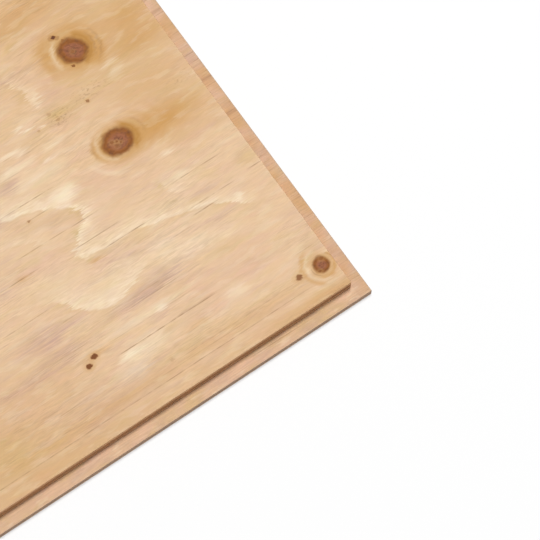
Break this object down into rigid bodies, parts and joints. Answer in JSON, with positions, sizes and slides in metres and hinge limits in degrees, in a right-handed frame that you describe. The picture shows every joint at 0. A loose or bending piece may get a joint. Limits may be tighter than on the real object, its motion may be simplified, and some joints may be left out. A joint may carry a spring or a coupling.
{
  "type": "half-lapped pine plywood sheet",
  "caption": "Full-size pine plywood sheet lying flat, with a half-lap step along every edge: underlaps on one long edge and one end, overlaps on the opposite two.",
  "frame": {"origin": "middle of the back, on the surface that the sheet lies on", "axes": "+X along the face grain towards the end with the underlap, +Y across the grain towards the long edge with the overlap, +Z out of the face"},
  "size_m": [2.448, 1.2288, 0.0151],
  "materials": {
    "pine_plywood": "matt, lightly sanded, unfinished"
  },
  "bodies": {
    "root": {"plywood_sheet": "pine_plywood"}
  },
  "joints": []
}
